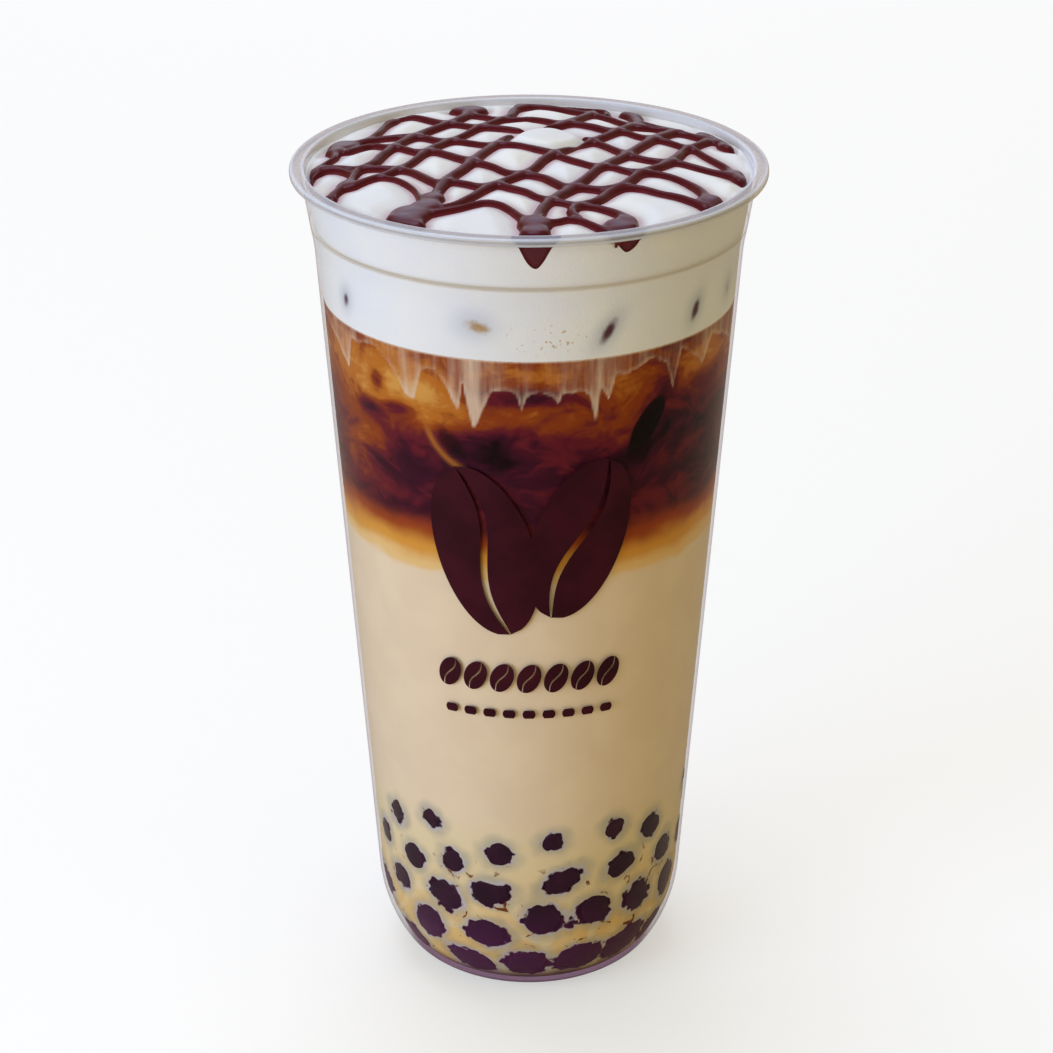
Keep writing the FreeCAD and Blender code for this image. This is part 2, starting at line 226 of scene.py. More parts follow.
class Shader:
    """The nodes of a material or the world, built up by short calls.

    A colour of three numbers is sRGB from 0 to 255, and one of four is linear from 0 to 1.
    """

    def __init__(self, name, kind="Material"):
        self.owner = (bpy.data.worlds if kind == "World" else bpy.data.materials).new(name)
        self.owner.use_nodes = True
        self.tree = self.owner.node_tree
        self.tree.nodes.clear()
        self.output = self.node("Output" + kind)

    def node(self, kind, **settings):
        node = self.tree.nodes.new("ShaderNode" + kind)
        for key, setting in settings.items():
            setattr(node, key, setting)
        return node

    def feed(self, socket, value):
        """Puts a number, a colour or another node's output into a socket."""
        if isinstance(value, bpy.types.NodeSocket):
            self.tree.links.new(value, socket)
        elif isinstance(value, tuple) and len(value) == 3:
            socket.default_value = colour(*value)
        else:
            socket.default_value = value

    def feed_each(self, sockets, *values):
        for socket, value in zip(sockets, values):
            self.feed(socket, value)

    def fill(self, node, **sockets):
        """Feeds a node's named sockets, with _ for a space in a name, and gives the node back."""
        for name, value in sockets.items():
            self.feed(node.inputs[name.replace("_", " ")], value)
        return node

    def maths(self, operation, *values, clamp=False):
        node = self.node("Math", operation=operation, use_clamp=clamp)
        self.feed_each(node.inputs, *values)
        return node.outputs[0]

    def plus(self, first, second):
        return self.maths("ADD", first, second)

    def times(self, first, second, clamp=False):
        return self.maths("MULTIPLY", first, second, clamp=clamp)

    def field(self, name):
        """The number that a field of the mesh holds."""
        return self.node("Attribute", attribute_name=name).outputs["Fac"]

    def place(self):
        """The point's place on the object, in millimetres."""
        where = self.node("TexCoord").outputs["Object"]
        return self.fill(self.node("VectorMath", operation="SCALE"), Vector=where,
                         Scale=1 / MM).outputs[0]

    def height(self):
        return self.fill(self.node("SeparateXYZ"), Vector=self.place()).outputs["Z"]

    def noise(self, size, detail=3.0, stretch=(1, 1, 1), seed=0.0, rough=0.5, warp=0.0):
        """Noise from 0 to 1 with features of a size in millimetres, longer where stretched."""
        mapping = self.fill(self.node("Mapping"), Vector=self.place(),
                            Scale=[1 / (size * s) for s in stretch],
                            Location=[seed, seed * 1.7, seed * 0.6])
        node = self.fill(self.node("TexNoise"), Vector=mapping.outputs[0], Scale=1.0,
                         Detail=detail, Roughness=rough, Distortion=warp)
        return node.outputs["Fac"]

    def wobble(self, size, amount, **settings):
        """Noise about zero, of half the amount at most to each side."""
        return self.times(self.maths("SUBTRACT", self.noise(size, **settings), 0.5), amount)

    def ramp(self, value, *stops):
        """A colour for a number, from pairs of a number and a colour."""
        node = self.node("ValToRGB")
        node.color_ramp.interpolation = "EASE"
        elements = node.color_ramp.elements
        while len(elements) < len(stops):
            elements.new(1.0)
        for element, (where, shade) in zip(elements, stops):
            element.position = where
            element.color = colour(*shade)
        self.feed(node.inputs["Fac"], value)
        return node.outputs["Color"]

    def step(self, value, low, high, top=1.0):
        """A smooth step from 0 at low to top at high."""
        node = self.node("MapRange", interpolation_type="SMOOTHSTEP")
        self.fill(node, Value=value, From_Min=low, From_Max=high, To_Max=top)
        return node.outputs["Result"]

    def blend(self, share, under, over):
        """One colour over another by a share."""
        node = self.node("Mix", data_type="RGBA")
        self.feed_each((node.inputs["Factor"], node.inputs[6], node.inputs[7]), share, under, over)
        return node.outputs[2]

    def relief(self, value, depth, strength):
        """A bump of a depth in millimetres."""
        node = self.fill(self.node("Bump"), Strength=strength, Distance=depth * MM, Height=value)
        return node.outputs["Normal"]

    def shader(self, kind, **sockets):
        return self.fill(self.node(kind), **sockets).outputs[0]

    def mix(self, share, under, over):
        """One shader over another by a share."""
        node = self.node("MixShader")
        self.feed_each(node.inputs, share, under, over)
        return node.outputs[0]

    def show(self, shader):
        """Joins a shader to the output and gives the finished material or world."""
        self.feed(self.output.inputs["Surface"], shader)
        return self.owner

    def surface(self, **sockets):
        """The finished material, as a Principled surface with named sockets."""
        return self.show(self.shader("BsdfPrincipled", **sockets))


def colour(red, green, blue):
    """An sRGB colour from 0 to 255 as Blender's linear one."""
    parts = (red, green, blue)
    return (*(((c / 255 + 0.055) / 1.055) ** 2.4 if c > 10 else c / 3295 for c in parts), 1)


def plastic_material():
    """The clear plastic: seen straight through, milkier where a field marks thick parts and painted
    highlight lines.
    """
    s = Shader("clear_plastic")
    # this field holds the plastic's haze and the painted highlight lines along the rim's edges
    thick = s.field("thick")
    tint = s.blend(s.step(thick, 0.0, 0.5), (250, 250, 252), (222, 212, 198))
    tint = s.blend(s.step(s.height(), 3.6, 1.4), tint, (168, 132, 160))
    clear = s.shader("BsdfTransparent", Color=tint)
    gloss = s.shader("BsdfGlossy", Color=(236, 228, 252), Roughness=0.16)
    facing = s.fill(s.node("LayerWeight"), Blend=0.5).outputs["Facing"]
    edge = s.maths("MULTIPLY_ADD", s.maths("POWER", facing, 4.5), 0.6, 0.003)
    milky = s.shader("BsdfPrincipled", Base_Color=(226, 230, 244), Roughness=0.2)
    return s.show(s.mix(s.step(thick, 0.2, 1.0, 0.68), s.mix(edge, clear, gloss), milky))


def drink_material():
    """Milk and coffee in one material, so that they melt into each other without a seam."""
    s = Shader("layered_drink")
    z = s.height()
    # milk, with sugar between the lower pearls
    milk = s.blend(s.step(s.noise(9, seed=3), 0.35, 0.7), (227, 202, 170), (231, 207, 174))
    milk = s.blend(s.step(z, 46, 34, 0.5), milk, (224, 204, 150))
    sugar = s.times(s.step(z, 36, 12, 0.75), s.step(s.noise(6, seed=8, warp=1.0), 0.28, 0.6))
    milk = s.blend(sugar, milk, (224, 176, 92))
    # each pearl shows through the milk near it as a soft shade and a pale rim round a ragged flat
    gap = s.field("pearl_gap")
    near = s.plus(gap, s.wobble(4.0, 2.4, seed=5, detail=1))
    ragged = s.plus(gap, s.wobble(2.8, 2.4, seed=6, detail=2))
    ragged = s.plus(ragged, s.wobble(1.1, 0.9, seed=61, detail=0))
    milk = s.blend(s.step(near, 2.1, -0.3, 0.5), milk, (132, 138, 132))
    pale = s.times(s.step(ragged, 0.45, -0.1, 0.5), s.step(s.noise(5, seed=67), 0.3, 0.62))
    milk = s.blend(pale, milk, (186, 180, 208))
    # brown threads between the pearls
    threads = s.step(s.noise(3.4, seed=21, warp=1.6), 0.63, 0.68)
    threads = s.times(threads, s.times(s.step(gap, 3.2, 1.0), s.step(z, 36, 28)))
    milk = s.blend(threads, milk, (112, 58, 30))
    pearl = s.blend(s.step(z, 26, 8), (48, 16, 38), (78, 30, 70))
    milk = s.blend(s.step(ragged, -0.1, -0.42), milk, pearl)
    # the pearls on the floor darken the lowest milk
    foot = s.plus(z, s.wobble(9, 4.0, seed=65))
    milk = s.blend(s.step(foot, 6.5, 3.2, 0.85), milk, (92, 48, 80))
    # coffee: amber above, dark below, stirred into each other
    swirl = s.wobble(13, 0.85, detail=4, stretch=(1, 1, 0.55), seed=11, rough=0.6, warp=1.3)
    fine = s.wobble(4.5, 0.28, detail=4, stretch=(1, 1, 0.6), seed=14, warp=1.5)
    share = s.plus(s.plus(s.field("glow"), swirl), fine)
    coffee = s.ramp(share, (0.0, (26, 8, 12)), (0.18, (58, 15, 32)), (0.38, (98, 26, 36)),
                    (0.58, (137, 58, 20)), (0.8, (182, 106, 34)), (1.0, (206, 146, 70)))
    # the golden edge where coffee sinks into milk
    low = s.plus(z, s.wobble(16, 6.0, seed=31, stretch=(1, 1, 0.6)))
    low = s.plus(low, s.wobble(3.0, 0.8, seed=33))
    golden = s.ramp(s.maths("DIVIDE", s.maths("SUBTRACT", low, 96), 14),
                    (0.0, (231, 203, 172)), (0.2, (228, 186, 122)), (0.42, (212, 146, 58)),
                    (0.7, (154, 66, 26)), (1.0, (100, 32, 28)))
    drink = s.blend(s.step(low, 104.5, 111), golden, coffee)
    drink = s.blend(s.step(low, 96.2, 98.5), milk, drink)
    # cream that hangs from the foam in a thin curtain
    veil = s.field("veil")
    streak = s.plus(s.wobble(0.8, 0.7, stretch=(1, 1, 16), seed=41, rough=0.6),
                    s.wobble(2.4, 0.7, stretch=(1, 1, 6), seed=43, detail=2))
    cream = s.plus(veil, s.times(streak, s.maths("POWER", veil, 0.4)))
    drink = s.blend(s.step(cream, 0.06, 1.0, 0.9), drink, (214, 186, 160))
    # ice that touches the wall, dark, with coffee lit up along one side of it
    ice = s.plus(s.field("ice"), s.wobble(3.0, 0.22, seed=52))
    drink = s.blend(s.times(s.field("glint"), 1.4, clamp=True), drink, (190, 114, 40))
    drink = s.blend(s.step(ice, 0.25, 0.6), drink, (18, 8, 9))
    return s.surface(Base_Color=drink, Roughness=0.5, Specular_IOR_Level=0.05)


def foam_material():
    """Thick cream foam, with fine bubbles and dark spots where ice and coffee touch it."""
    s = Shader("cream_foam")
    foam = s.blend(s.step(s.noise(14, seed=2), 0.3, 0.7), (230, 229, 231), (236, 233, 229))
    foam = s.blend(s.times(s.field("stain"), 0.8), foam, (200, 164, 174))
    # ice behind the side: a blurred cool halo round a dark core
    foam = s.blend(s.times(s.field("halo"), 0.72), foam, (150, 154, 170))
    core = s.field("core")
    core = s.plus(core, s.times(s.wobble(1.6, 0.5, seed=6), s.step(core, 0.05, 0.3)))
    foam = s.blend(s.step(core, 0.1, 0.9), foam, (82, 44, 54))
    # a stain of coffee and a few fine flecks of it
    brown = s.field("brown")
    grit = s.wobble(0.8, 0.9, seed=9, detail=4)
    brown = s.plus(brown, s.times(grit, s.step(brown, 0.03, 0.2)))
    foam = s.blend(s.step(brown, 0.05, 1.1, 0.9), foam, (170, 130, 66))
    flecks = s.step(s.noise(0.9, seed=27, detail=1), 0.63, 0.7)
    flecks = s.times(flecks, s.step(s.field("flecks"), 0.1, 0.8, 0.75))
    foam = s.blend(flecks, foam, (196, 154, 96))
    grain = s.relief(s.noise(0.5, detail=4, seed=17), 0.12, 0.5)
    return s.surface(Base_Color=foam, Roughness=0.6, Specular_IOR_Level=0.25, Normal=grain)


def pearl_material():
    """Dark tapioca, purple low in the cup."""
    s = Shader("tapioca")
    shade = s.ramp(s.noise(4, seed=4, detail=4),
                   (0.3, (38, 14, 32)), (0.6, (50, 18, 40)), (0.85, (70, 32, 44)))
    shade = s.blend(s.step(s.height(), 26, 8), shade, (76, 30, 68))
    dents = s.relief(s.noise(2.5, seed=7), 0.2, 0.4)
    return s.surface(Base_Color=shade, Roughness=0.45, Specular_IOR_Level=0.15, Normal=dents)


def sauce_material():
    """Chocolate syrup: dark red-brown, redder at its thin edges, with a painted lilac reflection
    over its pools.
    """
    s = Shader("chocolate_syrup")
    depth = s.plus(s.field("depth"), s.wobble(3, 0.2, seed=13))
    shade = s.ramp(depth, (0.0, (106, 34, 40)), (0.15, (78, 16, 22)), (0.5, (82, 24, 30)),
                   (1.0, (92, 44, 52)))
    # painted reflection: lilac-grey mixed into the colour over the pools, where the sauce lies
    # deepest
    shade = s.blend(s.times(s.field("pool"), 0.65), shade, (96, 74, 90))
    waves = s.relief(s.noise(5, seed=19, detail=2), 0.4, 0.5)
    return s.surface(Base_Color=shade, Roughness=0.26, Specular_IOR_Level=0.12,
                     Specular_Tint=(1.0, 0.8, 0.9, 1), Normal=waves)


def ink_material():
    """The print's dark brown ink."""
    s = Shader("brown_ink")
    shade = s.ramp(s.noise(8, seed=23), (0.35, (48, 12, 22)), (0.65, (60, 16, 28)))
    return s.surface(Base_Color=shade, Roughness=0.5, Specular_IOR_Level=0.06)


# ---- the cup ----


def make_cup():
    """The cup turned from its whole section, with a wall, a thicker rim and its ridges."""
    around = 252
    outside, inside = side_line(0, 0), side_line(WALL, FLOOR)
    ring_r = outside[0, 0] - FOOT_RING
    rim_low = CUP_HEIGHT - RIM_THICKNESS
    collar_z = CUP_HEIGHT - COLLAR_HEIGHT
    under_r = MOUTH + WALL - COLLAR_DRAW * RIM_THICKNESS / COLLAR_HEIGHT
    foot = rounded([(0.01, FOOT_RECESS), (ring_r - FOOT_RECESS, FOOT_RECESS), (ring_r, 0),
                    outside[0]], 0.4)
    outer = outside[1:-1]
    rim = rounded([(under_r, rim_low - 0.8), (under_r, rim_low), (RIM_RADIUS, rim_low),
                   (RIM_RADIUS, CUP_HEIGHT), (MOUTH, CUP_HEIGHT), inside[-1] - [0.14, 1.0]],
                  RIM_ROUNDING, steps=7)
    inner = inside[::-1][1:]
    line = np.concatenate([foot, outer[outer[:, 1] < rim_low - 1], evenly(rim, 0.2),
                           inner[inner[:, 1] < CUP_HEIGHT - 1.2], [(0.01, FLOOR)]])
    points, _ = turned_points(line, around)
    r, z = np.repeat(line, around, axis=0).T
    on_rim = (z > rim_low - 0.6) & (r > MOUTH - 0.4)
    thick = np.where(on_rim, 0.5, 0.0)
    # the rim's edges, milkier where the plastic is thickest to look through, and brightened further
    # as painted highlight lines
    for line_r, line_z in ((RIM_RADIUS - 0.3, CUP_HEIGHT - 0.2), (MOUTH + 0.2, CUP_HEIGHT),
                           (RIM_RADIUS, rim_low + 0.2)):
        thick += 0.5 * on_rim * np.exp(-((np.hypot(r - line_r, z - line_z) / 0.35) ** 2))
    waver = 0.5 + 0.5 * ripple(points, 30.0, 33)
    outer_side = np.arange(len(r)) < (len(foot) + len(outer)) * around
    thick += (0.34 + 0.16 * waver) * outer_side * np.exp(-(((z - collar_z) / 0.36) ** 2))
    thick += 0.6 * (r < MOUTH + 0.05) * smooth(CUP_HEIGHT - 2.6, CUP_HEIGHT - 1.6, z)
    cup = make_piece("clear_cup", points, ring_faces(len(line), around), plastic_material(),
                     thick=np.clip(thick, 0, 1))
    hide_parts("cup")


# ---- the tapioca pearls ----

# Pearls that show at the front: angle from the front, height, the flat's half width and half
# height where it meets the cup, and its lean in degrees.
FRONT_PEARLS = (
    (-56, 38, 2.7, 3.1, 25), (-37, 41, 2.4, 2.5, 25), (-11, 36, 3.1, 2.8, 20),
    (9, 39, 2.7, 2.3, -10), (32, 40, 2.5, 2.7, -10), (50, 36.5, 3.1, 3.1, -15),
    (-67, 30.5, 2.8, 3, 15), (-47, 30, 2.9, 3, 20), (-28.5, 32.5, 2.6, 3, 0),
    (12.5, 29.5, 4.9, 2.8, -28), (36, 30.5, 4.2, 2.9, -30), (60, 28.5, 3.4, 3.5, -15),
    (-57, 22.5, 3.2, 3.3, 20), (-32.5, 23.5, 4.4, 3.6, 30), (-14, 26.5, 4.7, 3.2, 0),
    (5.6, 20.5, 4.3, 4, 0), (25, 21, 3.8, 4, -20), (45, 21, 3.9, 4.1, -15), (66, 19.5, 4, 4.2, 0),
    (-74, 16.5, 4.2, 3.8, 0), (-42, 15.5, 3.9, 4.4, 25), (-16, 16.5, 5.1, 3.3, 8),
    (-58, 8.8, 4.4, 4, 15), (-25, 9, 5.6, 3.4, 25), (-1, 9.8, 5.1, 4.2, 0), (21, 10, 5.6, 4.2, -22),
    (42, 10.6, 5.8, 4.2, -22), (62, 9.6, 4.8, 4.4, 0), (16.3, 19.2, 1.7, 1.7, 0),
)
# Rows of pearls round the back: height, how many, and the flat's half width.
BACK_PEARLS = ((9.5, 9, 4.8), (17.5, 9, 4.2), (25, 10, 3.9), (32.5, 10, 3.1), (39.5, 8, 2.5))
# Rings of pearls on the floor: how far out, and how many.
FLOOR_PEARLS = ((0, 1), (9.6, 6), (17.5, 11))


def all_pearls():
    """Each pearl's centre, its axes as rows and its half sizes along them."""
    rng = np.random.default_rng(5)
    pearls = []

    def against_wall(angle, z, wide, tall, lean):
        # the flat is where the wall cuts the pearl, so a wide flat has its pearl pressed harder
        across, up = wide + 1.5, tall + 1.5
        inset = PEARL_DEEP * math.sqrt(1 - 0.5 * ((wide / across) ** 2 + (tall / up) ** 2))
        line = side_line(WALL + inset, FLOOR + inset)
        r, height = radius_at(line, z), max(z, line[0, 1])
        low_r, high_r = radius_at(line, [z - 1, z + 1])
        slope = (high_r - low_r) / 2
        a, tilt, turn = math.radians(angle), math.atan(max(slope, 0)), math.radians(lean)
        out = np.array([math.sin(a), -math.cos(a), 0])
        side = np.array([math.cos(a), math.sin(a), 0])
        rise = np.cross(out, side)
        rise = rise if rise[2] > 0 else -rise
        outward = math.cos(tilt) * out - math.sin(tilt) * rise
        rise = math.cos(tilt) * rise + math.sin(tilt) * out
        first = math.cos(turn) * side - math.sin(turn) * rise
        second = math.sin(turn) * side + math.cos(turn) * rise
        centre = np.array([r * out[0], r * out[1], height])
        axes = np.array([outward, first, second])
        pearls.append((centre, axes, np.array([PEARL_DEEP, across, up])))

    for pearl in FRONT_PEARLS:
        against_wall(*pearl)
    for row, (z, count, flat) in enumerate(BACK_PEARLS):
        for i in range(count):
            angle = 81 + (i + 0.5 * (row % 2)) * 198 / count
            against_wall(angle + rng.uniform(-3, 3), z + rng.uniform(-1.8, 1.8),
                         flat * rng.uniform(0.85, 1.15), flat * rng.uniform(0.75, 0.95),
                         rng.uniform(-30, 30))
    for reach, count in FLOOR_PEARLS:
        for i in range(count):
            a = 2 * math.pi * (i + 0.3 * reach) / count
            size = PEARL_RADIUS * rng.uniform(0.95, 1.05)
            centre = np.array([reach * math.cos(a), reach * math.sin(a), FLOOR + size - 0.9])
            axes = np.array([[0, 0, -1.0], [1, 0, 0], [0, 1, 0]])
            pearls.append((centre, axes, np.full(3, size)))
    return pearls


def pearl_gap(points, pearls):
    """How far each point lies outside the nearest pearl, about, and negative inside it."""
    gap = np.full(len(points), FAR)
    for centre, axes, sizes in pearls:
        near = np.linalg.norm(points - centre, axis=1) < 16
        share = np.linalg.norm((points[near] - centre) @ axes.T / sizes, axis=1)
        gap[near] = np.minimum(gap[near], (share - 1) * sizes.mean())
    return gap


def make_pearls(pearls):
    """Every pearl as an uneven ball, flattened with a ragged edge where it meets the cup."""
    # rings of points lie closest about the ragged edge
    tilts = np.radians([0, 8, 15, 21, 26, *range(30, 63, 4), 67, 74, 84, 98, 118, 144, 180])
    around = 36
    limit = side_line(WALL - SEAL - 0.08, FLOOR - SEAL - 0.08)
    tilt, spin = pairs(tilts, np.linspace(0, 2 * math.pi, around, endpoint=False))
    shape = np.column_stack([np.cos(tilt), np.sin(tilt) * np.cos(spin),
                             np.sin(tilt) * np.sin(spin)])
    points, faces = [], []
    for centre, axes, sizes in pearls:
        ball = centre + (shape * sizes * [1, 0.86, 0.86]) @ axes
        ball += (ball - centre) * (0.05 * ripple(ball, 5.0, 60))[:, None]
        radius = np.maximum(np.hypot(ball[:, 0], ball[:, 1]), 1e-6)
        wall = radius_at(limit, ball[:, 2])
        over = radius - wall + 0.3 * ripple(ball, 2.2, 70) + 0.15 * ripple(ball, 1.0, 71)
        scale = np.where(over > -0.8, (wall + np.minimum(over, 0)) / radius, 1)
        ball[:, :2] *= np.where(radius > 3, scale, 1)[:, None]
        ball[:, 2] = np.maximum(ball[:, 2], limit[0, 1])
        faces += ring_faces(len(tilts), around, len(points) * len(shape))
        points.append(ball)
    piece = make_piece("tapioca_pearls_real", np.concatenate(points), faces, pearl_material())
    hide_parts("tapioca_pearls")


# ---- the milk and the coffee ----


def make_latte(pearls, material):
    """The milk: a turned body with the inside's shape, which the pearls show through."""
    around = 360
    line = WALL_LINE[WALL_LINE[:, 1] < COFFEE_LEVEL - 0.1]
    top = np.array([wall_radius(COFFEE_LEVEL), COFFEE_LEVEL])
    line = np.concatenate([[(0.01, FLOOR - SEAL)], line, [top]])
    line = np.concatenate([evenly(line, 0.75), [top + (-SKIRT_IN, SKIRT_LONG)]])
    points, _ = turned_points(line, around)
    gap = pearl_gap(points, pearls)
    zero = np.zeros(len(points))
    piece = make_piece("latte_milk", points, ring_faces(len(line), around), material,
                       pearl_gap=gap, veil=zero, ice=zero, glow=zero + 0.3, glint=zero)
    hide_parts("latte")


# Angles are in degrees from the front, to the right.
# The lower edge of the cream that hangs before the coffee: angle and height.
VEIL_EDGE = (
    (-180, 139), (-172, 134), (-166, 140.5), (-150, 138), (-141, 132), (-137, 140), (-118, 137),
    (-110, 139.5), (-98, 131.5), (-94, 140.5), (-75, 141), (-66, 138), (-60, 134), (-57, 140.5),
    (-46, 141.5), (-41, 139), (-36, 134), (-33, 133), (-30, 139), (-26, 140.5), (-22, 136),
    (-19.5, 132), (-18, 137.5), (-15.6, 129.6), (-14.6, 129.6), (-12.5, 133), (-10, 136.6),
    (-6, 137.4), (-3.6, 136.8), (-2, 133.4), (-0.5, 136), (3, 136.9), (6, 136.2), (8, 134.4),
    (9.2, 136.6), (13, 137), (16.5, 135.6), (18.4, 130), (19.6, 137), (22, 134.2), (24, 139),
    (30, 139.6), (36, 141), (40, 139), (43, 133.6), (45.5, 141), (52, 138.4), (56, 136), (60, 141),
    (72, 138), (84, 133), (88, 140.5), (104, 137), (115, 131), (119, 140), (135, 138.5), (147, 134),
    (152, 140.5), (165, 137), (180, 139),
)
# Where that cream hangs thicker: angle, half width in degrees and how much more.
VEIL_FOLDS = (
    (-58, 2.5, 0.16), (-36, 1.6, 0.26), (-31.5, 1.4, 0.22), (-21, 1.2, 0.2), (-15.5, 3, 0.22),
    (-2, 1.6, 0.12), (8, 1.4, 0.14), (19, 2.2, 0.22), (43.5, 1.4, 0.2), (57, 1.6, 0.2),
    (84, 3, 0.25), (115, 3, 0.25), (147, 3, 0.25), (-98, 3, 0.25), (-141, 3, 0.25), (-172, 3, 0.25),
)
# Soft patches of light and dark coffee: angle, height, half width, half height, lean, and how
# much lighter it is.
COFFEE_PATCHES = (
    (-44, 134.5, 12, 7.5, 0, 0.42), (-27, 132, 9, 5.5, -0.4, 0.26), (-46.5, 134.6, 2, 2, 0, -0.55),
    (-39, 130.6, 3.6, 1.3, 0.3, -0.35), (-51, 128.6, 3.4, 1.4, -0.3, -0.4),
    (-61, 124, 8, 14, 0, 0.3), (-46, 124, 5, 3, -0.5, 0.16), (0, 135.7, 7.5, 1.7, 0, -0.34),
    (2, 131.2, 10, 3.4, 0.1, 0.26), (5, 139.6, 11, 2.2, 0, 0.2), (27, 137.5, 5, 3.5, 0, 0.16),
    (26, 129.5, 3.6, 5, 0.5, 0.26), (31, 122, 5, 3, 0.3, -0.14), (41, 134.5, 3, 4.6, 0, -0.26),
    (52, 138, 6, 3.4, 0, 0.2), (50, 126, 6, 4, 0, -0.16), (62, 138, 5, 4, 0, 0.22),
    (-33, 120, 7, 3, -0.3, -0.12), (-27, 112.5, 8, 2.6, 0.3, 0.12), (-45, 113, 6, 2.4, 0.2, 0.12),
    (-12, 125, 7, 4, 0, -0.16), (45, 112, 8, 2.6, 0.3, 0.12), (30, 108, 8, 3, -0.2, 0.1),
    (100, 135, 14, 5, 0, 0.4), (128, 130, 8, 4, 0.3, -0.3), (158, 135, 13, 6, 0, 0.36),
    (-166, 128, 9, 4, 0.3, -0.25), (-138, 134, 12, 6, 0, 0.4), (-108, 129, 8, 4, 0.3, -0.3),
    (-88, 134, 9, 6, 0, 0.25),
)
# Ice against the wall: angle, height, half width, half height, lean and how dark it is.
ICE_MARKS = (
    (34.8, 128, 3, 5, 0.5, 1.1), (-22, 125.6, 3, 4, -0.6, 0.5), (110, 128, 3, 4.8, 0.5, 0.6),
    (-124, 127, 3, 4.8, -0.5, 0.55), (172, 124, 3, 4.6, 0.4, 0.6),
)


def from_spot(angle, z, middle, height, wide, tall, lean, radius=COFFEE_RADIUS):
    """How far across and up places lie from a spot that leans as it rises, in its half sizes."""
    up = z - height
    across = np.radians(turn_between(angle, middle)) * radius - lean * up
    return across / wide, up / tall


def patch(angle, z, *spot, power=1, **settings):
    """A soft patch on the wall, from 0 to 1."""
    across, up = from_spot(angle, z, *spot, **settings)
    return np.exp(-((across**2 + up**2) ** power))


def arc_patch(angle, z, *spot):
    """A thin bright arc beside the lower part of an ice mark, from 0 to 1."""
    across, up = from_spot(angle, z, *spot)
    beside = smooth(0.2, -0.5, across) * smooth(1.1, 0.2, up)
    return np.exp(-(((np.hypot(across, up) - 1.25) / 0.22) ** 2)) * beside


def cream_veil(angle, z):
    """How much cream from the foam hangs before the coffee, from 0 to 1."""
    at, low = np.array(VEIL_EDGE).T
    edge = np.interp(angle, at, low)
    line = np.column_stack([angle * 0.66, 0 * z, 0 * z])  # about millimetres round the wall
    edge += 0.22 * ripple(line, 1.6, 83)
    slope = (np.interp(angle + 0.3, at, low) - np.interp(angle - 0.3, at, low)) / 0.4
    off = (z - edge) / np.hypot(1, slope)
    inside = smooth(-0.28, 0.32, off)
    lip = np.exp(-((off / 0.6) ** 2))
    depth = FOAM_LEVEL - z
    thin = 0.27 + 0.1 * ripple(line, 5.0, 84) + 0.06 * ripple(line, 1.4, 86)
    tail = 0.22 * smooth(5.5, 9.0, depth)
    fold = sum(more * np.exp(-((turn_between(angle, middle) / wide) ** 2))
               for middle, wide, more in VEIL_FOLDS)
    veil = inside * np.clip(thin + 0.34 * lip + tail + fold, 0, 0.9)
    melt = 0.3 * smooth(8.0, 0.0, depth) * smooth(-0.6, 1.2, ripple(line, 2.2, 85))
    return np.maximum(np.maximum(veil, melt), smooth(0.5, -0.1, depth))


def make_coffee(material):
    """The coffee: its side, with the cream, ice and swirls that show there as fields."""
    around = 560
    heights = np.linspace(COFFEE_LEVEL, FOAM_LEVEL + 0.1, 86)
    line = np.column_stack([wall_radius(heights), heights])
    line = np.concatenate([[line[0] - (SKIRT_IN, SKIRT_LONG)], line,
                           [line[-1] + (-SKIRT_IN, SKIRT_LONG)]])
    points, angle = turned_points(line, around)
    z = points[:, 2]
    glow = 0.24 + 0.3 * smooth(124.0, 138.0, z) - 0.04 * smooth(118.0, 108.0, z)
    for *place, lighter in COFFEE_PATCHES:
        glow += lighter * patch(angle, z, *place)
    ice = np.max([dark * patch(angle, z, *mark, power=1.8) for *mark, dark in ICE_MARKS], axis=0)
    glint = np.max([dark * arc_patch(angle, z, *mark) for *mark, dark in ICE_MARKS[1:]], axis=0)
    piece = make_piece("coffee_layer", points, ring_faces(len(line), around), material,
                       pearl_gap=np.full(len(points), FAR), veil=cream_veil(angle, z), ice=ice,
                       glow=glow, glint=glint)
    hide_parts("coffee")


# ---- the chocolate sauce ----

